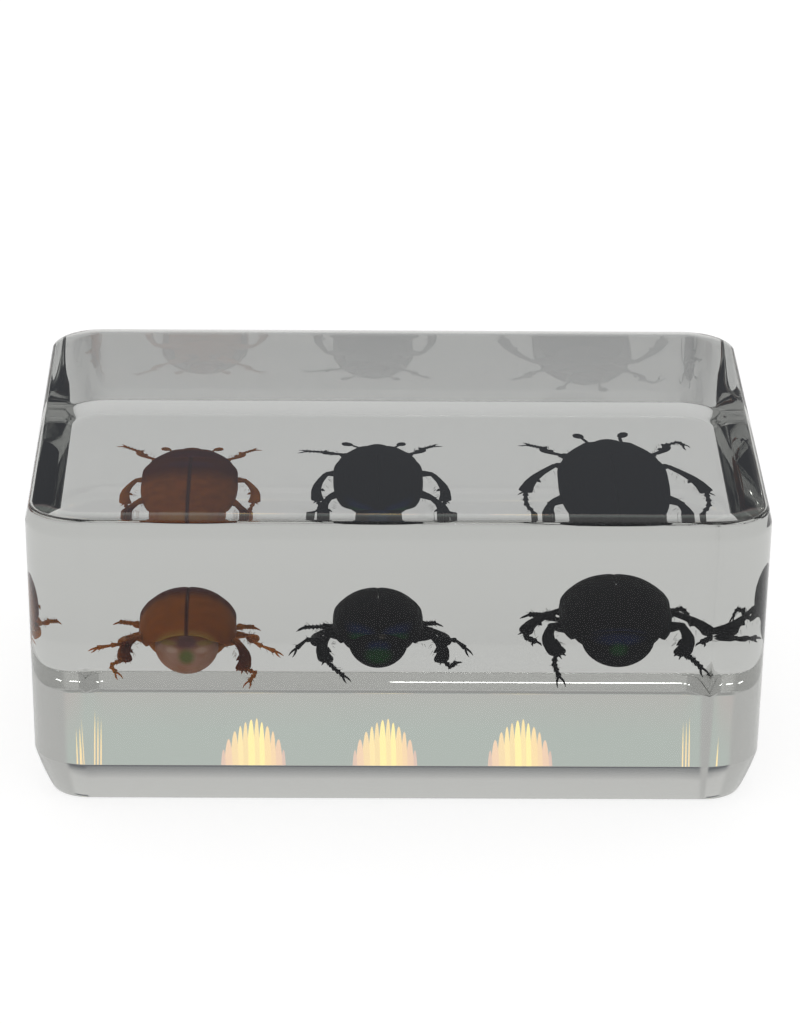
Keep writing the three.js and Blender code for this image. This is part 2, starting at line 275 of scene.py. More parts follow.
def add_egg(bm, centre, half, tilt=0.0, sides=28, rings=16, shape=None, material=SHIELD):
    """A round form with its poles along Y. shape moves the points of the unit ball first."""
    lie = Matrix.Rotation(math.radians(90), 4, "X")
    made = bmesh.ops.create_uvsphere(
        bm, u_segments=sides, v_segments=rings, radius=1.0, matrix=lie
    )
    verts = made["verts"]
    if shape:
        for vert in verts:
            vert.co = shape(vert.co)
    bmesh.ops.scale(bm, vec=half, verts=verts)
    bmesh.ops.rotate(bm, matrix=Matrix.Rotation(tilt, 3, "X"), verts=verts)
    bmesh.ops.translate(bm, vec=centre, verts=verts)
    own_faces(verts, material)


def on_the_way(values, share):
    """A value between evenly spaced ones, with a soft turn at each."""
    place = share * (len(values) - 1)
    first = min(int(place), len(values) - 2)
    part = place - first
    part = part * part * (3 - 2 * part)
    return values[first] + (values[first + 1] - values[first]) * part


def add_limb(bm, start, end, radii, flat=1.0, sides=12, rings=12, bend=(0, 0, 0), material=LIMBS):
    """A closed rod from start to end, as thick as the radii say, with rounded ends."""
    span = Vector(end) - Vector(start)
    turn = span.to_track_quat("Z", "Y").to_matrix().to_4x4()
    made = bmesh.ops.create_uvsphere(bm, u_segments=sides, v_segments=rings, radius=1.0)
    verts = made["verts"]
    for vert in verts:
        share = math.acos(max(-1.0, min(1.0, -vert.co.z))) / math.pi
        share = (share * rings - 1) / (rings - 2)
        way = max(0.0, min(1.0, share))
        around = Vector((vert.co.x, vert.co.y))
        radius = on_the_way(radii, way)
        if around.length > 1e-4:
            around = around.normalized() * radius
        cap = (share - way) * (rings - 2) * radius * 0.6
        vert.co = (around.x, around.y * flat, way * span.length + cap)
    bmesh.ops.transform(bm, matrix=Matrix.Translation(start) @ turn, verts=verts)
    if any(bend):
        along = span.normalized()
        for vert in verts:
            way = max(0.0, min(1.0, (vert.co - Vector(start)).dot(along) / span.length))
            vert.co += Vector(bend) * math.sin(math.pi * way)
    own_faces(verts, material)


def add_sheet(bm, across, along, place, thickness, material, mirrored=False):
    """A thin curved plate. place gives the point for shares across and along the plate."""
    made = bmesh.ops.create_grid(bm, x_segments=across, y_segments=along, size=1.0)
    verts = made["verts"]
    for vert in verts:
        vert.co = place((vert.co.x + 1) / 2, (vert.co.y + 1) / 2)
    faces = list({face for vert in verts for face in vert.link_faces})
    bmesh.ops.recalc_face_normals(bm, faces=faces)
    if sum(face.normal.z * face.calc_area() for face in faces) < 0:
        bmesh.ops.reverse_faces(bm, faces=faces)
    made = bmesh.ops.solidify(bm, geom=faces, thickness=thickness)
    shell = [part for part in made["geom"] if isinstance(part, bmesh.types.BMVert)]
    shell = list({*shell, *(vert for face in faces for vert in face.verts)})
    own_faces(shell, material)
    if mirrored:
        parts = shell + list({edge for vert in shell for edge in vert.link_edges})
        parts += list({face for vert in shell for face in vert.link_faces})
        copies = bmesh.ops.mirror(bm, geom=parts, matrix=Matrix(), merge_dist=0.0, axis="X")
        flipped = [part for part in copies["geom"] if isinstance(part, bmesh.types.BMFace)]
        bmesh.ops.reverse_faces(bm, faces=flipped)


def gather(bm, part):
    """Adds a finished part to the whole."""
    mesh = bpy.data.meshes.new("part")
    part.to_mesh(mesh)
    part.free()
    bm.from_mesh(mesh)
    bpy.data.meshes.remove(mesh)


def finish_mesh(bm, name, materials):
    """Turns the mesh into an object that rides on the block's body."""
    mesh = bpy.data.meshes.new(name)
    bm.to_mesh(mesh)
    bm.free()
    piece = bpy.data.objects.new(name, mesh)
    bpy.context.scene.collection.objects.link(piece)
    for material in materials:
        mesh.materials.append(material)
    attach(piece, BODY)
    return piece


# ---------------------------------------------------------------- resin block


def bevel_foot(bm, foot, width, height, steps=6):
    """Lowers the foot face by a bevel that swells a little between its two creases."""
    lean = math.atan(width / height)
    radius = width / (math.cos(lean - FOOT_SWELL) - math.cos(lean + FOOT_SWELL))
    turned = lean - FOOT_SWELL
    for step in range(1, steps + 1):
        angle = lean + FOOT_SWELL * (2 * step / steps - 1)
        inward = radius * (math.cos(turned) - math.cos(angle))
        down = radius * (math.sin(angle) - math.sin(turned))
        bmesh.ops.inset_region(bm, faces=[foot], thickness=inward, use_even_offset=True)
        bmesh.ops.translate(bm, vec=(0, 0, -down), verts=foot.verts)
        turned = angle


def round_rim(bm, top, width, height, tight):
    """Raises the top by a steep band, a tight round and a wide one that runs out level."""
    steep, shallow = BAND_SLOPE, TOP_SLOPE
    # the band's length and the wide radius that fill the width and the height
    across = width - tight * (math.sin(steep) - math.sin(shallow))
    upward = height - tight * (math.cos(shallow) - math.cos(steep))
    sag = 1 - math.cos(shallow)
    share = math.cos(steep) * sag - math.sin(shallow) * math.sin(steep)
    band = (across * sag - math.sin(shallow) * upward) / share
    wide = (math.cos(steep) * upward - math.sin(steep) * across) / share
    stops = [(band * math.cos(steep), band * math.sin(steep))]
    for radius, first, last, steps in ((tight, steep, shallow, 6), (wide, shallow, 0.0, 8)):
        inset, rise = stops[-1]
        for step in range(1, steps + 1):
            angle = first + (last - first) * step / steps
            stops.append((inset + radius * (math.sin(first) - math.sin(angle)),
                          rise + radius * (math.cos(angle) - math.cos(first))))
    inset, rise = 0.0, 0.0
    for inward, up in stops:
        bmesh.ops.inset_region(bm, faces=[top], thickness=inward - inset, use_even_offset=True)
        bmesh.ops.translate(bm, vec=(0, 0, up - rise), verts=top.verts)
        inset, rise = inward, up


def cast_block(settings):
    """Drafted walls with rounded corners, a rim round the top and a bevelled foot."""
    low, high = CAD_BOX
    size = high - low
    shoulder = high.z - settings.rim_height
    spring = low.z + settings.foot_height
    lean = (shoulder - spring) * math.tan(settings.wall_draft)
    bm = bmesh.new()
    bmesh.ops.create_cube(bm, size=1.0)
    bmesh.ops.scale(bm, vec=(size.x, size.y, shoulder - spring), verts=bm.verts)
    middle = (low + high) / 2
    middle.z = (shoulder + spring) / 2
    bmesh.ops.translate(bm, vec=middle, verts=bm.verts)
    upright = [edge for edge in bm.edges if edge.verts[0].co.xy == edge.verts[1].co.xy]
    bmesh.ops.bevel(
        bm, geom=upright, offset=settings.corner_radius, segments=20, profile=0.5,
        affect="EDGES", material=-1,
    )
    narrow = [vert for vert in bm.verts if vert.co.z < middle.z]
    bmesh.ops.scale(
        bm, vec=(1 - 2 * lean / size.x, 1 - 2 * lean / size.y, 1), verts=narrow,
        space=Matrix.Translation(-middle),
    )
    bm.normal_update()
    foot = min(bm.faces, key=lambda face: face.calc_center_median().z)
    top = max(bm.faces, key=lambda face: face.calc_center_median().z)
    rim_crease, foot_creases = list(top.edges), list(foot.edges)
    round_rim(bm, top, settings.rim_width, settings.rim_height, settings.rim_round)
    bevel_foot(bm, foot, settings.foot_width, settings.foot_height)
    # the foot is lower behind
    for vert in bm.verts:
        if low.z < vert.co.z < spring + 0.01 * MM:
            back = (vert.co.y - low.y) / size.y
            vert.co.z = low.z + (vert.co.z - low.z) * (1 - settings.foot_taper * back)
    foot_creases += list(foot.edges)
    for creases, offset in ((rim_crease, settings.edge_softness),
                            (foot_creases, settings.foot_softness)):
        bmesh.ops.bevel(
            bm, geom=creases, offset=offset, segments=2, profile=0.5, affect="EDGES",
            material=-1,
        )
    for face in bm.faces:
        face.smooth = True
    return bm


# ---------------------------------------------------------------- beetle


def cover_point(side_share, back_share, size, ribs):
    """A point of the right wing cover, from the seam to the rim and from front to back."""
    width, long, high = size
    around = math.radians(96) * side_share
    end = math.radians(77 - 9 * (side_share / 0.7) ** 2 - 14 * max(0.0, side_share - 0.7) / 0.3)
    start = math.radians(-50)
    lie = start + (end - start) * back_share
    girth = math.cos(lie) ** (0.36 if lie < 0 else 0.56)
    reach = 0.36 if lie < 0 else 0.425
    rib = 0.006 * math.cos(2 * math.pi * ribs * side_share) * math.sin(math.pi * back_share)
    hump_at = math.hypot((side_share - 0.78) / 0.2, (back_share - 0.16) / 0.16)
    hump = 0.05 * math.exp(-hump_at * hump_at)
    seam = -0.025 * math.exp(-((side_share / 0.025) ** 2))
    swell = 1 + rib + hump + seam
    x = 0.5 * width * math.sin(around) ** 0.92 * girth * swell if side_share > 0 else 0.0
    y = -0.06 * long - reach * long * math.sin(lie)
    z = -0.02 * high + 0.5 * high * math.cos(around) * girth * swell
    return Vector((max(x, 0.006 * width), y, z))


def neck_shield_point(across, back_share, size):
    """A point of the neck shield, from its left to its right rim and from front to back."""
    width, long, high = size
    around = math.radians(100) * (2 * across - 1)
    grow = math.sin(math.radians(90) * back_share)
    half = (0.215 + 0.225 * grow) * width
    top = (0.22 + 0.215 * grow) * high
    lobe = 0.02 * long * math.cos(around) ** 4 * back_share
    horns = 0.022 * long * (1 - math.cos(around)) * (1 - back_share)
    x = half * math.copysign(abs(math.sin(around)) ** 0.9, around)
    y = (0.385 - 0.195 * back_share) * long + horns - lobe
    z = -0.05 * high + top * math.cos(around)
    return Vector((x, y, z))


def ringed(count, depth):
    """Grooves between the rings of an abdomen."""

    def shape(point):
        groove = abs(math.sin(math.pi * count * (point.y + 1) / 2)) ** 0.35
        tight = 1 - depth * (1 - groove)
        return Vector((point.x * tight, point.y, point.z * tight))

    return shape


def tail_plate(point):
    """The plate behind the wing covers: a broad bowl, rounded below."""
    narrow = 0.98 + 0.08 * point.z
    return Vector((point.x * narrow, point.y * (1 - 0.2 * point.z), point.z))


def narrow_front(amount):
    """Draws a form in towards its front end."""

    def shape(point):
        return Vector((point.x * (1 - amount * max(0.0, point.y)), point.y, point.z))

    return shape


def triangular(point):
    """A small shield that comes to a point behind."""
    side = 0.5 + 0.5 * point.y
    return Vector((point.x * (0.15 + 0.85 * side), point.y, point.z))


def add_body(bm, size, ribs):
    """Wing covers, neck shield, underside, tail plate and head."""
    width, long, high = size
    add_sheet(
        bm, 44, 56, lambda u, v: cover_point(u, v, size, ribs), -0.025 * width, COVERS,
        mirrored=True,
    )
    add_sheet(
        bm, 44, 22, lambda u, v: neck_shield_point(u, v, size), -0.03 * width, SHIELD
    )
    # belly, breast and tail plate
    add_egg(bm, (0, -0.08 * long, -0.1 * high), (0.455 * width, 0.36 * long, 0.32 * high),
            sides=40, rings=40, shape=ringed(6, 0.04), material=BELLY)
    add_egg(bm, (0, 0.15 * long, -0.1 * high), (0.37 * width, 0.2 * long, 0.35 * high),
            material=BELLY)
    add_egg(bm, (0, -0.36 * long, -0.1 * high), (0.345 * width, 0.1 * long, 0.4 * high),
            tilt=0.2, sides=36, rings=24, shape=tail_plate, material=TAIL)
    # head, its front edge, eyes and the small shield between the covers
    add_egg(bm, (0, 0.4 * long, -0.12 * high), (0.19 * width, 0.09 * long, 0.2 * high),
            tilt=-0.3, shape=narrow_front(0.25))
    add_egg(bm, (0, 0.455 * long, -0.2 * high), (0.14 * width, 0.045 * long, 0.07 * high),
            tilt=-0.4, shape=narrow_front(0.1))
    for side in (-1, 1):
        add_egg(bm, (side * 0.17 * width, 0.4 * long, -0.13 * high),
                (0.05 * width, 0.045 * long, 0.09 * high), material=EYES)
        add_limb(bm, (side * 0.08 * width, 0.45 * long, -0.28 * high),
                 (side * 0.14 * width, 0.485 * long, -0.34 * high),
                 (0.018 * width, 0.022 * width, 0.012 * width), sides=8, rings=8)
    add_egg(bm, (0, 0.135 * long, 0.415 * high), (0.1 * width, 0.06 * long, 0.05 * high),
            tilt=-0.2, shape=triangular, material=SHIELD)


def point_along(points, share):
    """The point at a share of the way along a line of points."""
    points = [Vector(point) for point in points]
    spans = [(b - a).length for a, b in zip(points, points[1:])]
    left = share * sum(spans)
    for a, b, span in zip(points, points[1:], spans):
        if left <= span:
            return a.lerp(b, left / span)
        left -= span
    return points[-1]


def add_bristles(bm, start, end, radius, count, reach, seed):
    """Fine stiff hairs round a limb, leaning towards its end."""
    rng = random.Random(seed)
    start, end = Vector(start), Vector(end)
    along = (end - start).normalized()
    part = bmesh.new()
    for _ in range(count):
        root = start.lerp(end, rng.uniform(0.15, 0.95))
        out = along.orthogonal()
        out.rotate(Matrix.Rotation(rng.uniform(0, 2 * math.pi), 3, along))
        root += out * radius * 0.7
        tip = root + (out * 0.6 + along * 0.8) * reach * rng.uniform(0.6, 1.1)
        add_limb(part, root, tip, (0.028, 0.01), sides=4, rings=4, material=HAIRS)
    gather(bm, part)


def add_leg(bm, leg, size, seed):
    """Coxa, thigh, toothed shin and a foot of five joints with two claws."""
    hip, knee, ankle = Vector(leg["hip"]), Vector(leg["knee"]), Vector(leg["ankle"])
    broad = leg["broad"]
    side = math.copysign(1, knee.x)
    add_egg(bm, hip + Vector((-side * 0.3, 0.1, 0.1)), (0.95 * size, 0.7 * size, 0.6 * size))
    add_limb(bm, hip, knee, [r * size for r in (0.5, 0.72, 0.8, 0.68, 0.44)], flat=0.62,
             sides=16, rings=16, bend=(0, 0, 0.12 * size))
    shin = [r * size * broad for r in (0.3, 0.34, 0.42, 0.5, 0.6)]
    add_limb(bm, knee, ankle, shin, flat=0.7, sides=14, rings=16,
             bend=(side * 0.45 * size, 0, 0))
    down = (ankle - knee).normalized()
    # short teeth along the outer edge and two spurs at the end
    for share, long in ((0.6, 0.5), (0.94, 0.75)):
        root = knee.lerp(ankle, share)
        out = Vector((-side * 0.72 * broad, 0, -0.22)) + down * 0.62
        add_limb(bm, root, root + out * size * long, (0.26 * size, 0.16 * size, 0.05 * size),
                 sides=8, rings=8)
    for spread in (-0.3, 0.3):
        tip = ankle + (down * 0.75 + Vector((side * spread, 0, -0.15))) * size
        add_limb(bm, ankle, tip, (0.13 * size, 0.1 * size, 0.03 * size), sides=6, rings=7)
    add_bristles(bm, knee, ankle, 0.42 * size * broad, 16, 0.5 * size, seed)
    add_bristles(bm, hip, knee, 0.7 * size, 8, 0.45 * size, seed + 1)
    # foot
    route = [ankle, *leg["foot"]]
    joints = 5
    for joint in range(joints):
        first = point_along(route, joint / joints)
        last = point_along(route, (joint + 0.93) / joints)
        add_limb(bm, first, last, [r * size for r in (0.13, 0.17, 0.25)], sides=8, rings=8)
        add_bristles(bm, first, last, 0.2 * size, 3, 0.35 * size, seed + 2 + joint)
    end = Vector(route[-1])
    heading = (end - point_along(route, 0.85)).normalized()
    aside = heading.cross(Vector((0, 0, 1))).normalized()
    for spread in (-1, 1):
        tip = end + (heading * 0.72 + aside * 0.34 * spread + Vector((0, 0, -0.3))) * size
        add_limb(bm, end, tip, [r * size for r in (0.12, 0.09, 0.03)], sides=6, rings=8,
                 bend=aside * 0.12 * spread * size)


def add_antenna(bm, joints, size):
    """A beaded stalk and a club of three leaves."""
    root, elbow, club = [Vector(point) for point in joints]
    beads = 5
    for bead in range(beads):
        first = root.lerp(elbow, bead / beads)
        last = root.lerp(elbow, (bead + 0.9) / beads)
        add_limb(bm, first, last, [r * size for r in (0.12, 0.16, 0.13)], sides=8, rings=7)
    reach = club - elbow
    for leaf in (-1, 0, 1):
        tip = elbow + reach * (1 - 0.06 * abs(leaf)) + Vector((0, 0, 0.16 * leaf * size))
        add_limb(bm, elbow, tip, [r * size for r in (0.12, 0.34, 0.4, 0.3)], flat=0.22,
                 sides=12, rings=12)


def shape_beetle(data, ribs, seed):
    """The whole beetle in its place in the block, in metres."""
    bm = bmesh.new()
    add_body(bm, data["size"], ribs)
    for number, leg in enumerate(data["legs"]):
        part = bmesh.new()
        add_leg(part, leg, data["limb"], seed + 20 * number)
        gather(bm, part)
    for joints in data["antennae"]:
        part = bmesh.new()
        add_antenna(part, joints, data["limb"])
        gather(bm, part)
    bmesh.ops.translate(bm, vec=data["centre"], verts=bm.verts)
    bmesh.ops.scale(bm, vec=(MM, MM, MM), verts=bm.verts)
    return bm


# ---------------------------------------------------------------- materials


class Finish:
    """A new material, with its shader and short ways to add and link nodes."""

    def __init__(self, name):
        self.material = bpy.data.materials.new(name)
        self.material.use_nodes = True
        self.nodes = self.material.node_tree.nodes
        self.links = self.material.node_tree.links
        self.shader = self.nodes["Principled BSDF"]
        self.output = self.nodes["Material Output"]

    def node(self, kind, **settings):
        made = self.nodes.new(kind)
        for key, value in settings.items():
            setattr(made, key, value)
        return made

    def put(self, source, target):
        self.links.new(source, target)

    def object_coordinates(self, centre_mm=(0, 0, 0)):
        """Object coordinates measured from a centre."""
        place = self.node("ShaderNodeTexCoord")
        centred = self.node("ShaderNodeMapping", vector_type="POINT")
        centred.inputs["Location"].default_value = [-value * MM for value in centre_mm]
        self.put(place.outputs["Object"], centred.inputs["Vector"])
        return centred.outputs["Vector"]

    def noise(self, vector, size, detail=3.0):
        made = self.node("ShaderNodeTexNoise")
        made.inputs["Scale"].default_value = 1 / size
        made.inputs["Detail"].default_value = detail
        self.put(vector, made.inputs["Vector"])
        return made.outputs["Fac"]

    def cells(self, vector, spacing):
        made = self.node("ShaderNodeTexVoronoi")
        made.inputs["Scale"].default_value = 1 / spacing
        self.put(vector, made.inputs["Vector"])
        return made.outputs["Distance"]

    def spread(self, value, low, high, to_low=0.0, to_high=1.0):
        made = self.node("ShaderNodeMapRange", interpolation_type="SMOOTHSTEP")
        made.inputs["From Min"].default_value = low
        made.inputs["From Max"].default_value = high
        made.inputs["To Min"].default_value = to_low
        made.inputs["To Max"].default_value = to_high
        self.put(value, made.inputs["Value"])
        return made.outputs["Result"]

    def nearness(self, place, at, reach):
        """1 at a place and 0 beyond its reach, both in millimetres."""
        near = self.node("ShaderNodeMapping", vector_type="TEXTURE")
        near.inputs["Location"].default_value = [value * MM for value in at]
        near.inputs["Scale"].default_value = [value * MM for value in reach]
        self.put(place, near.inputs["Vector"])
        away = self.node("ShaderNodeVectorMath", operation="LENGTH")
        self.put(near.outputs["Vector"], away.inputs[0])
        return self.spread(away.outputs["Value"], 1.0, 0.3)

    def times(self, value, factor):
        made = self.node("ShaderNodeMath", operation="MULTIPLY")
        made.inputs[1].default_value = factor
        self.put(value, made.inputs[0])
        return made.outputs["Value"]

    def blend(self, share, first, second):
        """A mix of two colours, each a socket or a plain colour."""
        made = self.node("ShaderNodeMix", data_type="RGBA")
        self.put(share, made.inputs["Factor"])
        for socket, value in ((made.inputs[6], first), (made.inputs[7], second)):
            if isinstance(value, bpy.types.NodeSocket):
                self.put(value, socket)
            else:
                socket.default_value = (*value, 1.0)
        return made.outputs[2]

    def bump(self, height, strength, depth):
        made = self.node("ShaderNodeBump")
        made.inputs["Strength"].default_value = strength
        made.inputs["Distance"].default_value = depth
        self.put(height, made.inputs["Height"])
        self.put(made.outputs["Normal"], self.shader.inputs["Normal"])

    def set(self, **values):
        for key, value in values.items():
            self.shader.inputs[key.replace("_", " ")].default_value = value


def resin_finish(settings):
    """Clear polished resin, with the faintest clouds of tone."""
    finish = Finish("clear_cast_resin")
    finish.set(Roughness=0.0, IOR=settings.refraction, Transmission_Weight=1.0)
    finish.set(Specular_Tint=(*settings.gloss, 1.0))
    place = finish.object_coordinates()
    tone = finish.blend(finish.noise(place, 0.035, 0.0), (1, 1, 1), (0.985, 0.99, 0.985))
    finish.put(tone, finish.shader.inputs["Base Color"])
    tint = finish.node("ShaderNodeVolumeAbsorption")
    tint.inputs["Color"].default_value = (*settings.tint, 1.0)
    tint.inputs["Density"].default_value = settings.tint_density
    finish.put(tint.outputs["Volume"], finish.output.inputs["Volume"])
    return finish.material


def shell_finish(name, centre, ground, deep, roughness, patches=(), pits=None, painted_glints=None,
                 grain=0.5, see_through=0.0, spacing=0.00032):
    """A beetle's shell: a ground with a little grain, soft patches of colour, some of them painted
    sheen, fine pits and pale specks painted as glints.

    A patch is its place and reach in millimetres from the beetle's middle, colour and strength.
    """
    finish = Finish(name)
    place = finish.object_coordinates(centre)
    mottle = finish.spread(finish.noise(place, 0.0016, 3.0), 0.3, 0.75, 0.0, grain)
    tone = finish.blend(mottle, ground, deep)
    for at, reach, colour_there, strength in patches:
        share = finish.nearness(place, at, reach)
        tone = finish.blend(finish.times(share, strength), tone, colour_there)
    pit = finish.spread(finish.cells(place, spacing), 0.28, 0.1)
    if pits:
        tone = finish.blend(finish.times(pit, pits[1]), tone, pits[0])
    # pale specks painted into the colour as small glints of light
    if painted_glints:
        painted_glint_mask = finish.spread(finish.cells(place, 0.0009), 0.09, 0.03)
        tone = finish.blend(finish.times(painted_glint_mask, painted_glints[1]), tone, painted_glints[0])
    finish.put(tone, finish.shader.inputs["Base Color"])
    fine = finish.noise(place, 0.0007, 2.0)
    rough = finish.spread(fine, 0.3, 0.7, roughness - 0.06, roughness + 0.08)
    finish.put(rough, finish.shader.inputs["Roughness"])
    finish.bump(finish.times(pit, -1.0), 0.5, 0.00005)
    finish.set(Specular_IOR_Level=0.1, IOR=1.04)
    if see_through:
        finish.set(Subsurface_Weight=see_through, Subsurface_Radius=(1.0, 0.35, 0.1))
        finish.set(Subsurface_Scale=0.0008)
    return finish.material


def hair_finish(name, tone):
    finish = Finish(name)
    place = finish.object_coordinates()
    share = finish.noise(place, 0.0015, 2.0)
    darker = [value * 0.4 for value in tone]
    finish.put(finish.blend(share, tone, darker), finish.shader.inputs["Base Color"])
    finish.set(Roughness=0.5)
    return finish.material


def eye_finish(name, centre):
    """A dark bead of very fine facets."""
    finish = Finish(name)
    place = finish.object_coordinates(centre)
    facets = finish.cells(place, 0.00006)
    tone = finish.blend(facets, (0.03, 0.02, 0.015), (0.008, 0.006, 0.006))
    finish.put(tone, finish.shader.inputs["Base Color"])
    finish.bump(facets, 0.3, 0.00002)
    finish.set(Roughness=0.18)
    return finish.material


def brown_finishes(data, s):
    """The brown beetle's materials, in the order of their places on its mesh."""
    centre = data["centre"]
    _, long, high = data["size"]
    pits = (s.chestnut, 0.35)
    seam = (0.05, 0.014, 0.012)
    olive = (0.3, 0.2, 0.04)
    violet = (0.07, 0.02, 0.035)
    covers = (
        ((0, 3.5, 0), (FAR, 6.5, FAR), s.chestnut, 0.95),
        ((0, 2.2, 2.4), (3.6, 1.6, 2.5), violet, 0.8),
        ((0, -0.45 * long, -2.4), (FAR, 5.0, 2.6), s.tail_pink, 0.85),
        ((0, -0.5 * long, 0), (FAR, 1.5, 3.0), olive, 0.85),
        ((0, 0, 0.25 * high), (0.32, FAR, FAR), seam, 0.9),
    )
    shield = (
        ((0, 0.2 * long, 2.5), (3.6, 1.3, 2.5), violet, 0.8),
        ((0, 0.45 * long, 0), (FAR, 2.5, FAR), s.amber, 0.35),
    )
    tail = (
        ((0, -8.2, 0.5), (2.0, FAR, 1.1), violet, 0.75),
        ((-2.1, -8.4, 1.2), (2.0, FAR, 1.0), s.amber, 0.95),
        ((2.1, -8.4, 1.2), (2.0, FAR, 1.0), s.amber, 0.95),
        ((-2.0, -8.4, 0.35), (1.4, FAR, 0.4), olive, 0.7),
        ((2.0, -8.4, 0.35), (1.4, FAR, 0.4), olive, 0.7),
        ((0, -8.4, -1.1), (1.2, FAR, 1.2), (0.08, 0.14, 0.02), 0.8),
        ((-1.5, -8.4, -0.4), (0.9, FAR, 0.5), (0.6, 0.45, 0.35), 0.5),
        ((1.5, -8.4, -0.4), (0.9, FAR, 0.5), (0.6, 0.45, 0.35), 0.5),
    )
    dark_hind = (((-5.5, -9, -0.5), (2.6, 4.2, 3.5), s.chestnut, 0.95),
                 ((5.5, -9, -0.8), (2.6, 4.2, 3.5), s.chestnut, 0.95))
    return [
        shell_finish("amber_wing_covers", centre, s.amber, s.chestnut, 0.3, covers, pits,
                     see_through=0.3, grain=0.3),
        shell_finish("chestnut_shield", centre, s.chestnut, violet, 0.3, shield, pits,
                     see_through=0.15),
        shell_finish("orange_belly", centre, s.orange, s.amber, 0.35, see_through=0.3),
        shell_finish("amber_legs", centre, s.orange, s.amber, 0.35, dark_hind,
                     see_through=0.3),
        eye_finish("brown_beetle_eyes", centre),
        hair_finish("tawny_bristles", (0.3, 0.13, 0.04)),
        shell_finish("brown_tail_plate", centre, s.tail_pink, s.amber, 0.35, tail,
                     see_through=0.2),
    ]


def dark_finishes(data, s, name, cover_painted_sheen, tail_painted_sheen):
    """A black beetle's materials, with patches of painted sheen on its covers and its tail plate.
    """
    centre = data["centre"]
    deep = [value * 0.5 for value in s.black]
    pits = ((0.012, 0.014, 0.017), 0.4)
    # pale is the tone of the painted glints, small specks of painted light on the shells
    pale = (0.3, 0.3, 0.28)
    return [
        shell_finish(name + "_wing_covers", centre, s.black, deep, 0.36, cover_painted_sheen, pits,
                     (pale, 0.25)),
        shell_finish(name + "_shield", centre, s.black, deep, 0.34, (), pits, (pale, 0.2)),
        shell_finish(name + "_belly", centre, s.black, deep, 0.4),
        shell_finish(name + "_legs", centre, s.black, deep, 0.36),
        eye_finish(name + "_eyes", centre),
        hair_finish(name + "_bristles", (0.02, 0.016, 0.014)),
        shell_finish(name + "_tail_plate", centre, s.black, deep, 0.36, tail_painted_sheen, pits,
                     (pale, 0.25)),
    ]


def green_black_finishes(data, s):
    covers = []
    # painted sheen on the rear of each cover, blue above green
    for side in (-1, 1):
        covers.append(((1.9 * side, -7.4, 1.4), (1.9, FAR, 0.8), s.painted_blue_sheen, 0.9))
        covers.append(((1.8 * side, -7.6, 0.8), (1.7, FAR, 0.7), s.painted_green_sheen, 0.8))
    # painted sheen on the tail plate, blue above green, and a small pale patch
    tail = (
        ((0, -8.3, -0.3), (1.6, FAR, 0.9), s.painted_blue_sheen, 0.95),
        ((0, -8.3, -1.3), (1.9, FAR, 1.3), s.painted_green_sheen, 0.95),
        ((0.4, -8.3, 0.9), (0.5, FAR, 0.5), (0.14, 0.12, 0.1), 0.7),
    )
    return dark_finishes(data, s, "green_black", covers, tail)


def blue_black_finishes(data, s):
    # painted sheen: blue on the rear of the covers, blue above green on the tail plate
    covers = (((0, -9.5, 0.9), (3.2, FAR, 0.9), s.painted_blue_sheen, 0.8),)
    tail = (
        ((0, -11, 0.2), (3.4, FAR, 0.9), s.painted_blue_sheen, 0.9),
        ((0, -11, -0.9), (1.3, FAR, 1.0), s.painted_green_sheen, 0.8),
    )
    return dark_finishes(data, s, "blue_black", covers, tail)


# ---------------------------------------------------------------- stage


def add_floor(s):
    """A wide pale floor that is lit from inside, a hair below the block."""
    bm = bmesh.new()
    bmesh.ops.create_grid(bm, x_segments=1, y_segments=1, size=2.5)
    bmesh.ops.translate(bm, vec=(0, 0, -0.2 * MM), verts=bm.verts)
    mesh = bpy.data.meshes.new("floor")
    bm.to_mesh(mesh)
    bm.free()
    floor = bpy.data.objects.new("floor", mesh)
    bpy.context.scene.collection.objects.link(floor)
    finish = Finish("pale_floor")
    place = finish.object_coordinates()
    shade = [value * 0.97 for value in s.floor_tone]
    tone = finish.blend(finish.noise(place, 0.5), s.floor_tone, shade)
    finish.put(tone, finish.shader.inputs["Base Color"])
    finish.shader.inputs["Emission Color"].default_value = (1, 1, 1, 1)
    finish.set(Roughness=0.7, Specular_IOR_Level=0.2, Emission_Strength=s.floor_glow)
    mesh.materials.append(finish.material)


def add_panel(name, place, target, size, power, tone=(1, 1, 1), shape="RECTANGLE"):
    """A flat lamp at a place, turned to its target."""
    light = bpy.data.lights.new(name, "AREA")
    light.shape = shape
    light.size, light.size_y = size
    light.energy = power
    light.color = tone
    panel = bpy.data.objects.new(name, light)
    bpy.context.scene.collection.objects.link(panel)
    panel.location = place
    look = Vector(target) - Vector(place)
    panel.rotation_euler = look.to_track_quat("-Z", "Y").to_euler()


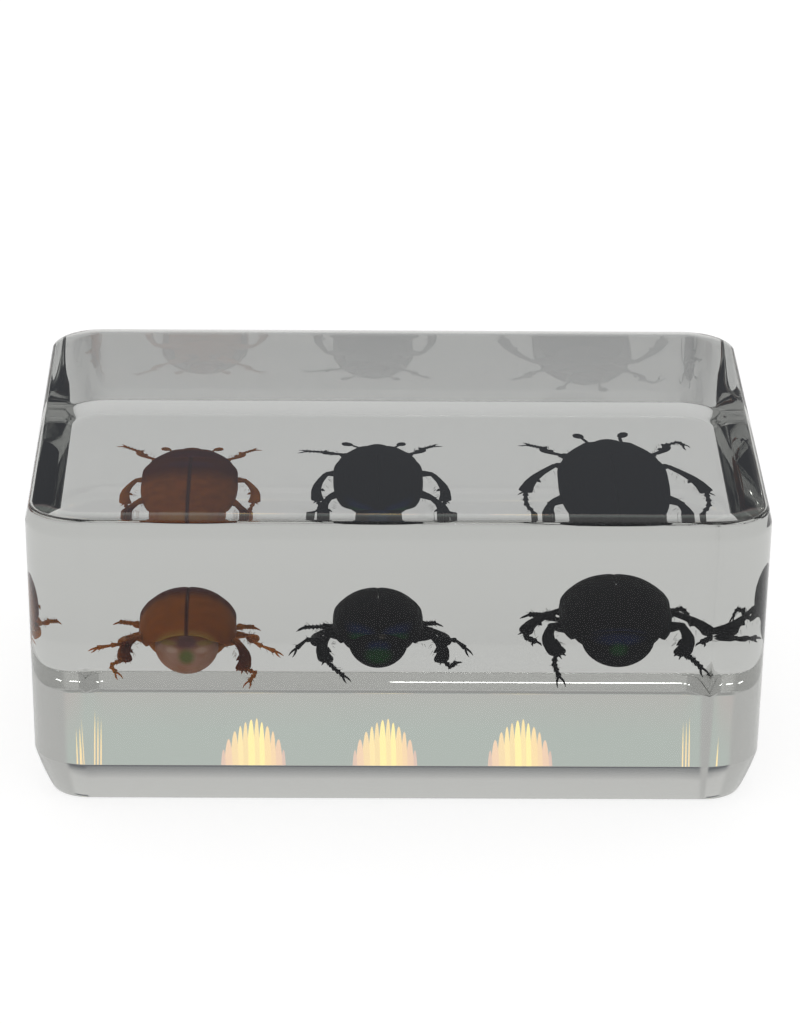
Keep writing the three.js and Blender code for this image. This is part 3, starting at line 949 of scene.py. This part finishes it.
def add_surround(s):
    """Light from all round, with a dark band low down behind and brighter overhead."""
    world = bpy.data.worlds.new("surround")
    world.use_nodes = True
    tree = world.node_tree
    ground = tree.nodes["Background"]
    place = tree.nodes.new("ShaderNodeTexCoord")
    split = tree.nodes.new("ShaderNodeSeparateXYZ")
    ramp = tree.nodes.new("ShaderNodeValToRGB")
    tree.links.new(place.outputs["Generated"], split.inputs["Vector"])
    tree.links.new(split.outputs["Z"], ramp.inputs["Fac"])
    # the dark band stands behind the block only
    aside = tree.nodes.new("ShaderNodeMath")
    aside.operation = "ABSOLUTE"
    share = tree.nodes.new("ShaderNodeMapRange")
    share.interpolation_type = "SMOOTHSTEP"
    share.inputs["From Min"].default_value = 0.13
    share.inputs["From Max"].default_value = 0.2
    pick = tree.nodes.new("ShaderNodeMix")
    pick.data_type = "RGBA"
    tree.links.new(split.outputs["X"], aside.inputs[0])
    tree.links.new(aside.outputs["Value"], share.inputs["Value"])
    tree.links.new(share.outputs["Result"], pick.inputs["Factor"])
    tree.links.new(ramp.outputs["Color"], pick.inputs[6])
    pick.inputs[7].default_value = [value * 0.85 for value in s.surround_tone] + [1.0]
    tree.links.new(pick.outputs[2], ground.inputs["Color"])
    bright, dark = (*s.surround_tone, 1.0), (*s.dark_tone, 1.0)
    dim = [value * 0.6 for value in s.surround_tone] + [1.0]
    high = [value * 1.12 for value in s.surround_tone] + [1.0]
    rose, mint = (1.0, 0.9, 0.89, 1.0), (0.92, 1.0, 0.95, 1.0)
    # each tone begins at a rise above the horizon, in degrees
    stops = [(math.sin(math.radians(rise)), tone) for rise, tone in (
        (0, bright), (13, bright), (16, dark), (22.6, dark), (23.6, rose), (24.4, mint),
        (26.2, mint), (28.5, dim), (50, dim), (58, high),
    )]
    while len(ramp.color_ramp.elements) < len(stops):
        ramp.color_ramp.elements.new(0.5)
    for element, (position, tone) in zip(ramp.color_ramp.elements, stops):
        element.position = position
        element.color = tone
    bpy.context.scene.world = world


def add_lights(s):
    add_surround(s)
    # streaked lamps behind the block, seen through its lower part
    for across in LAMPS_ACROSS:
        for aside, spacing, tall, tone, strength in LAMP_STREAKS:
            wide, high = STREAK_OVERLAP * spacing, 2 * tall
            area = math.pi / 4 * wide * high
            add_panel("lamp_behind", (across + aside, LAMPS_BEHIND, LAMPS_HEIGHT),
                      (across + aside, 0, 0.012), (wide, high),
                      STREAK_DIMMING * strength * math.pi * area, tone, "ELLIPSE")
    # lamps overhead, mirrored by the steep band of the rim
    for across in OVERHEAD_ACROSS:
        add_panel("lamp_above", (across, -1.0, 2.8), (across * 0.2, 0, 0), (0.22, 0.05), 0.35)


def add_camera(s):
    """A camera in front of the block, level with its long side but for a slight turn and roll."""
    low, high = CAD_BOX
    edge = Vector((0, low.y, high.z - EDGE_DEPTH))
    level = math.cos(s.camera_rise)
    back = Vector((-level * math.sin(s.camera_turn), -level * math.cos(s.camera_turn),
                   math.sin(s.camera_rise)))
    camera = bpy.data.cameras.new("camera")
    camera.lens = s.focal_length
    camera.sensor_width = SENSOR
    camera.clip_start = 0.01
    viewer = bpy.data.objects.new("camera", camera)
    bpy.context.scene.collection.objects.link(viewer)
    viewer.location = edge + back * s.camera_distance
    drop = math.atan(EDGE_DROP * SENSOR / s.focal_length)
    turn = Matrix.Rotation(-s.camera_turn, 3, "Z")
    tilt = Matrix.Rotation(math.radians(90) - s.camera_rise + drop, 3, "X")
    roll = Matrix.Rotation(s.camera_roll, 3, "Z")
    viewer.rotation_euler = (turn @ tilt @ roll).to_euler()
    bpy.context.scene.camera = viewer


# ---------------------------------------------------------------- operators


class RESINBLOCK_OT_cast(bpy.types.Operator):
    """Cast the clear block round the beetles"""

    bl_idname = "resin_block.cast"
    bl_label = "Cast Resin Block"

    def execute(self, context):
        settings = context.scene.resin_settings
        piece = finish_mesh(cast_block(settings), "clear_block", [resin_finish(settings)])
        normals = piece.modifiers.new("face_weighted_normals", "WEIGHTED_NORMAL")
        normals.keep_sharp = True
        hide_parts("resin_lower_half", "resin_upper_half")
        return {"FINISHED"}


class RESINBLOCK_OT_beetles(bpy.types.Operator):
    """Make the three beetles"""

    bl_idname = "resin_block.beetles"
    bl_label = "Make Beetles"

    def execute(self, context):
        s = context.scene.beetle_settings
        brown, small, large = BEETLES.values()
        looks = (
            ("brown_beetle", brown_finishes(brown, s), "brown_shell", 5),
            ("green_black_beetle", green_black_finishes(small, s), "green_black_shell", 8),
            ("blue_black_beetle", blue_black_finishes(large, s), "blue_black_shell", 9),
        )
        for number, (node, finishes, slot, ribs) in enumerate(looks):
            data = BEETLES[node]
            bm = shape_beetle(data, ribs, 1000 * (number + 1))
            piece = finish_mesh(bm, data["piece"], finishes)
            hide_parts(node)
        return {"FINISHED"}


class RESINBLOCK_OT_stage(bpy.types.Operator):
    """Set the floor, the lights and the camera"""

    bl_idname = "resin_block.stage"
    bl_label = "Set Stage"

    def execute(self, context):
        s = context.scene.stage_settings
        add_floor(s)
        add_lights(s)
        add_camera(s)
        scene = context.scene
        scene.view_settings.view_transform = "Standard"
        scene.cycles.max_bounces = 24
        scene.cycles.transmission_bounces = 24
        scene.cycles.glossy_bounces = 16
        return {"FINISHED"}


class RESINBLOCK_PT_sidebar(bpy.types.Panel):
    bl_idname = "RESINBLOCK_PT_sidebar"
    bl_label = "Resin Block"
    bl_space_type = "VIEW_3D"
    bl_region_type = "UI"
    bl_category = "Resin Block"

    def draw(self, context):
        for operator in OPERATORS:
            self.layout.operator(operator.bl_idname)
        for group in ("resin_settings", "beetle_settings", "stage_settings"):
            settings = getattr(context.scene, group)
            for key in settings.bl_rna.properties.keys():
                if key not in ("rna_type", "name"):
                    self.layout.prop(settings, key)


OPERATORS = (RESINBLOCK_OT_cast, RESINBLOCK_OT_beetles, RESINBLOCK_OT_stage)
CLASSES = (ResinSettings, BeetleSettings, StageSettings, *OPERATORS, RESINBLOCK_PT_sidebar)


def register():
    for cls in CLASSES:
        bpy.utils.register_class(cls)
    scene = bpy.types.Scene
    scene.resin_settings = bpy.props.PointerProperty(type=ResinSettings)
    scene.beetle_settings = bpy.props.PointerProperty(type=BeetleSettings)
    scene.stage_settings = bpy.props.PointerProperty(type=StageSettings)


def unregister():
    del bpy.types.Scene.stage_settings
    del bpy.types.Scene.beetle_settings
    del bpy.types.Scene.resin_settings
    for cls in reversed(CLASSES):
        bpy.utils.unregister_class(cls)


def main():
    register()
    bpy.ops.resin_block.cast()
    bpy.ops.resin_block.beetles()
    bpy.ops.resin_block.stage()


if __name__ == "__main__":
    main()
